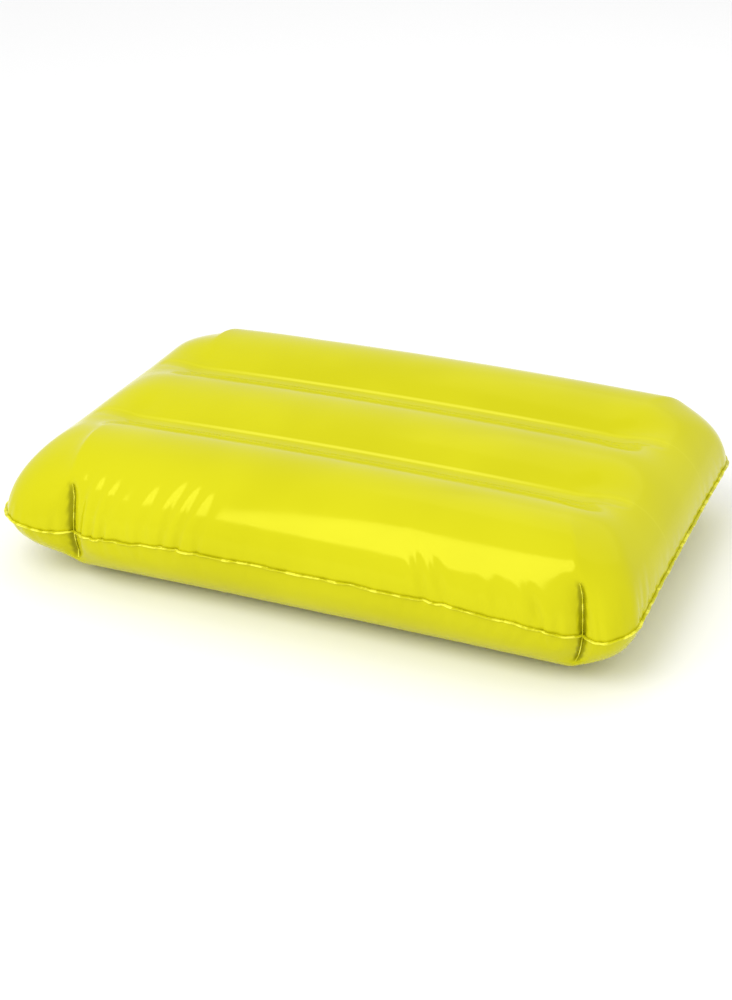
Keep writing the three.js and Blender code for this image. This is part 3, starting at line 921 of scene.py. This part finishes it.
def weld_film(colours):
    """The doubled film of a weld, with painted highlights in broken dashes where its edge catches the
    light.
    """
    f = Finish("weld_film")
    # Painted highlight: broken bright dashes in the base colour; the same mask also varies the roughness.
    highlight_dashes = f.ramp(f.noise(170.0, 3.0), 0.46, 0.62)
    bright = tuple(min(1.0, 1.4 * c + 0.05) for c in colours.lime)
    f.set(Base_Color=f.blend(highlight_dashes, tuple(colours.lime), bright))
    f.set(Normal=f.bump(f.noise(1500.0, 2.0), 0.15, 0.0002), Roughness=f.ramp(highlight_dashes, 0, 1, 0.2, 0.3))
    f.set(Specular_IOR_Level=0.25)
    return f.material


def moulded_vinyl(colours):
    """The moulded valve: firm glossy vinyl with a faint grain and a slow drift of colour."""
    f = Finish("moulded_vinyl")
    drift = f.ramp(f.noise(160.0, 2.0), 0.3, 0.7)
    deep = tuple(0.88 * c for c in colours.moulding)
    f.set(Base_Color=f.blend(drift, deep, tuple(colours.moulding)))
    f.set(Normal=f.bump(f.noise(2600.0, 3.0), 0.12, 0.0001), Roughness=f.ramp(drift, 0, 1, 0.28, 0.38))
    f.set(Specular_IOR_Level=0.4)
    return f.material


def milky_film(colours):
    """The valve's flange, skirt and flap: milky film, paler where it is thin."""
    f = Finish("milky_film")
    drift = f.ramp(f.noise(220.0, 2.0), 0.3, 0.7)
    pale = tuple(min(1.0, 1.06 * c) for c in colours.milky)
    f.set(Base_Color=f.blend(drift, tuple(colours.milky), pale))
    f.set(Normal=f.bump(f.noise(700.0, 2.0), 0.1, 0.0002), Roughness=f.ramp(drift, 0, 1, 0.22, 0.34))
    return f.material


def baffle_film(colours):
    """The inner walls: matt film with fine lengthwise wrinkles."""
    f = Finish("baffle_film")
    drift = f.ramp(f.noise(18.0, 2.0), 0.3, 0.7)
    f.set(Base_Color=f.blend(drift, tuple(colours.lime_deep), tuple(colours.lime)))
    f.set(Normal=f.bump(f.noise(90.0, 3.0, (0.2, 1.0, 1.0)), 0.2, 0.001))
    f.set(Roughness=f.ramp(drift, 0, 1, 0.4, 0.5))
    return f.material


# ---------------------------------------------------------------------------------------------
# Operators

CAMERA_AZIMUTH = 22.4746
CAMERA_ELEVATION = 26.914
CAMERA_DISTANCE = 1.0434
CAMERA_LENS = 65.35
CAMERA_TARGET = Vector((-0.0040, -0.0058, 0.0255))


class PILLOW_OT_film(bpy.types.Operator):
    """Makes the top and bottom sheets, blows them up as cloth and puckers them at the rim weld"""

    bl_idname = "pillow.film"
    bl_label = "Inflated film"

    def execute(self, context):
        size = context.scene.pillow_film
        made = [film_shape(size, up) for up in (True, False)]
        top, i, j = sheet_grid("top_film", made[0], True)
        bottom, _, _ = sheet_grid("bottom_film", made[1], False)
        whole = made[0][3]
        shapes = relax_with_air(size, top, bottom)
        set_points(top, shapes[0][i, j])
        set_points(bottom, shapes[1][i, j])
        material = lime_film(context.scene.pillow_finish)
        for sheet, up in ((top, True), (bottom, False)):
            crease_darts(sheet, i, j)
            finish_modifier(sheet, "SUBSURF", levels=2, render_levels=2)
            if up:
                seat_valve(sheet)
            press_bands(sheet)
            pucker_walls(size, sheet, up, whole)
            outward = normals_of(sheet)
            keep_values(sheet, "out_x", outward[:, 0])
            keep_values(sheet, "out_y", outward[:, 1])
            sheet.data.materials.append(material)
        return {"FINISHED"}


class PILLOW_OT_welds(bpy.types.Operator):
    """Makes the rim weld and the four corner welds as thin fins on the edges of the sheets"""

    bl_idname = "pillow.welds"
    bl_label = "Rim and corner welds"

    def execute(self, context):
        size = context.scene.pillow_film
        top, bottom = bpy.data.objects["top_film"], bpy.data.objects["bottom_film"]
        material = weld_film(context.scene.pillow_finish)
        rim_weld(size, top, material)
        dart_welds(top, bottom, material)
        return {"FINISHED"}


class PILLOW_OT_film_thickness(bpy.types.Operator):
    """Cuts the hole for the valve and gives both sheets their thickness"""

    bl_idname = "pillow.film_thickness"
    bl_label = "Film thickness"

    def execute(self, context):
        size = context.scene.pillow_film
        top, bottom = bpy.data.objects["top_film"], bpy.data.objects["bottom_film"]
        open_valve_hole(top)
        for sheet, node in ((top, "top_sheet"), (bottom, "bottom_sheet")):
            finish_modifier(sheet, "SOLIDIFY", thickness=size.thickness, offset=-1)
            settle(sheet, "pillow")
            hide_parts(node)
        return {"FINISHED"}


class PILLOW_OT_baffles(bpy.types.Operator):
    """Makes the two inner walls that hold the valleys, each with a band against both sheets"""

    bl_idname = "pillow.baffles"
    bl_label = "Inner baffles"

    def execute(self, context):
        material = baffle_film(context.scene.pillow_finish)
        sheets = {True: points_of(bpy.data.objects["top_film"]),
                  False: points_of(bpy.data.objects["bottom_film"])}
        stations = np.linspace(-BAND_END, BAND_END, BAFFLE_STATIONS)
        for name, side in (("front_inner_wall", -1), ("rear_inner_wall", 1)):
            lines = {}
            for up, points in sheets.items():
                for across in (-1, 0, 1):
                    y = side * BAND_Y + across * (BAND_HALF - 1.0 * MM)
                    near = points[np.abs(points[:, 1] - y) < 1.2 * MM]
                    order = np.argsort(near[:, 0])
                    height = np.interp(stations, near[order, 0], near[order, 2])
                    lines[up, across] = np.stack([stations, np.full_like(stations, y), height], -1)
            above, below = np.array([0, 0, BAFFLE_ROOM]), np.array([0, 0, BAFFLE_THICK])
            half = np.array([0, BAFFLE_THICK / 2, 0])
            tops = [lines[True, across] - above for across in (-1, 0, 1)]
            feet = [lines[False, across] + above for across in (-1, 0, 1)]
            rows = [tops[0], tops[1], tops[2], tops[2] - below, tops[1] - below + half,
                    feet[1] + below + half, feet[2] + below, feet[2], feet[1], feet[0],
                    feet[0] + below, feet[1] + below - half, tops[1] - below - half,
                    tops[0] - below, tops[0]]
            wall = baffle_wall(name, rows)
            wall.data.materials.append(material)
            settle(wall, "pillow")
            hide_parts("front_baffle" if side < 0 else "rear_baffle")
        return {"FINISHED"}


class PILLOW_OT_valve_base(bpy.types.Operator):
    """Makes the flange under the top sheet and the skirt that joins it to the stem"""

    bl_idname = "pillow.valve_base"
    bl_label = "Valve flange and skirt"

    def execute(self, context):
        milky = milky_film(context.scene.pillow_finish)
        hole = VALVE_HOLE / MM
        flange = turned("flange", ((hole, -1.4), (14, -1.4), (14, -0.6), (hole, -0.6)))
        finish_moulding(flange, 0.2, milky, "pillow", "valve_film", "valve_flange")
        skirt = turned("skirt", ((5.6, -10.3), (6.9, -10.3), (7.4, -9.2), (8.2, -6.6), (9.3, -4.4),
                                 (10.2, -3.6), (10.2, -3.1), (8.9, -3.3), (7.9, -4.6), (7.4, -6.6),
                                 (6.8, -9.0), (5.6, -9.8)))
        finish_moulding(skirt, 0.12, milky, None, "valve_film", "valve_skirt")
        for piece in (flange, skirt):
            sag_with_wall(piece)
        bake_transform(skirt)
        return {"FINISHED"}


class PILLOW_OT_valve(bpy.types.Operator):
    """Makes the valve's stem, its plug with the tether, and the flap at its inner end"""

    bl_idname = "pillow.valve"
    bl_label = "Valve stem, plug, tether and flap"

    def execute(self, context):
        vinyl = moulded_vinyl(context.scene.pillow_finish)
        stem = turned("stem", ((3.5, -13), (5.3, -13), (5.3, -11.4), (6.8, -11.4), (6.8, -10.6),
                               (5.3, -10.6), (5.3, 2.0), (6.0, 2.4), (6.0, 2.9), (5.7, 3.2),
                               (3.9, 3.2), (3.5, 2.8)))
        finish_moulding(stem, 0.12, vinyl, "valve_stem", "valve_moulding", "valve_stem")
        cap = turned("plug", ((2.6, -0.7), (2.75, -0.6), (3.2, 1.4), (3.2, 3.5), (5.8, 3.5),
                              (5.8, 4.8), (5.4, 5.1), (3.6, 5.1), (3.2, 4.85)), ring=False)
        rod = knuckle("plug_rod", -10, 4.1, 0.6, 4)
        strap = block("plug_strap", (-10, -1.7, 3.75), (-5.2, 1.7, 4.6))
        grip = block("plug_grip", (5.2, -2, 3.75), (10.3, 2, 4.85))
        plug = fuse(cap, strap, rod, grip)
        finish_moulding(plug, 0.12, vinyl, "valve_plug", "valve_moulding", "valve_plug")
        collar = turned("tether", ((5.6, 0.5), (7.1, 0.5), (7.1, 1.7), (5.6, 1.7)))
        arm = block("tether_arm", (-10.6, -2, 0.56), (-6.4, 2, 1.64))
        post = block("tether_post", (-10.5, -1.9, 1.2), (-9.4, 1.9, 3.2))
        tether = fuse(collar, arm, post)
        finish_moulding(tether, 0.12, vinyl, "valve_stem", "valve_moulding", "plug_tether")
        flap = turned("flap", ((4.7, -13.8), (4.7, -13.3)), ring=False)
        milky = bpy.data.materials["milky_film"]
        finish_moulding(flap, 0.1, milky, "valve_flap", "valve_film", "valve_flap")
        return {"FINISHED"}


class PILLOW_OT_stage(bpy.types.Operator):
    """Makes the floor, the soft studio light and the camera"""

    bl_idname = "pillow.stage"
    bl_label = "Stage"

    def execute(self, context):
        scene = context.scene
        bpy.ops.object.select_all(action="DESELECT")
        bpy.ops.mesh.primitive_plane_add(size=12)
        floor = context.object
        floor.name = "floor"
        f = Finish("floor_paint")
        shade = f.ramp(f.noise(0.6, 2.0), 0.3, 0.7)
        colour = tuple(scene.pillow_finish.floor)
        f.set(Base_Color=f.blend(shade, colour, tuple(0.99 * c for c in colour)), Roughness=0.9)
        f.set(Specular_IOR_Level=0.1)
        floor.data.materials.append(f.material)
        world = bpy.data.worlds.new("studio_air")
        scene.world = world
        world.use_nodes = True
        background = world.node_tree.nodes["Background"]
        background.inputs["Color"].default_value = (1, 1, 1, 1)
        background.inputs["Strength"].default_value = 0.97
        lights = [
            ("front_softbox", (-0.22, -1.00, 1.12), (0.80, 1.10), -6, 9.5),
            ("rear_softbox", (0.30, 0.95, 1.20), (1.60, 1.00), 0, 2.0),
        ]
        for name, place, extent, roll, power in lights:
            aim = (Vector((0, -0.1, 0.06)) - Vector(place)).to_track_quat("-Z", "Y")
            aim = aim @ Quaternion((0, 0, 1), math.radians(roll))
            bpy.ops.object.light_add(type="AREA", location=place, rotation=aim.to_euler())
            lamp = context.object
            lamp.name = name
            lamp.data.shape = "RECTANGLE"
            lamp.data.size, lamp.data.size_y = extent
            lamp.data.energy = power
        scene.view_settings.view_transform = "Standard"
        azimuth, elevation = math.radians(CAMERA_AZIMUTH), math.radians(CAMERA_ELEVATION)
        back = Vector((math.sin(azimuth) * math.cos(elevation), -math.cos(azimuth) * math.cos(elevation),
                       math.sin(elevation)))
        bpy.ops.object.camera_add(location=CAMERA_TARGET + back * CAMERA_DISTANCE)
        camera = context.object
        camera.name = "camera"
        camera.rotation_euler = (-back).to_track_quat("-Z", "Y").to_euler()
        camera.data.lens = CAMERA_LENS
        camera.data.sensor_width = 36
        camera.data.clip_start = 0.05
        scene.camera = camera
        return {"FINISHED"}


class PILLOW_PT_panel(bpy.types.Panel):
    """Lists the steps that make the pillow"""

    bl_label = "Camp Pillow"
    bl_idname = "PILLOW_PT_panel"
    bl_space_type = "VIEW_3D"
    bl_region_type = "UI"
    bl_category = "Camp Pillow"

    def draw(self, context):
        for step in STEPS:
            self.layout.operator(step.bl_idname)


STEPS = (PILLOW_OT_film, PILLOW_OT_welds, PILLOW_OT_film_thickness, PILLOW_OT_baffles,
         PILLOW_OT_valve_base, PILLOW_OT_valve, PILLOW_OT_stage)
CLASSES = (PILLOW_PG_film, PILLOW_PG_finish, *STEPS, PILLOW_PT_panel)


def register():
    for item in CLASSES:
        bpy.utils.register_class(item)
    bpy.types.Scene.pillow_film = bpy.props.PointerProperty(type=PILLOW_PG_film)
    bpy.types.Scene.pillow_finish = bpy.props.PointerProperty(type=PILLOW_PG_finish)


def unregister():
    del bpy.types.Scene.pillow_film
    del bpy.types.Scene.pillow_finish
    for item in reversed(CLASSES):
        bpy.utils.unregister_class(item)


def main():
    register()
    bpy.ops.pillow.film()
    bpy.ops.pillow.welds()
    bpy.ops.pillow.film_thickness()
    bpy.ops.pillow.baffles()
    bpy.ops.pillow.valve_base()
    bpy.ops.pillow.valve()
    bpy.ops.pillow.stage()


if __name__ == "__main__":
    main()
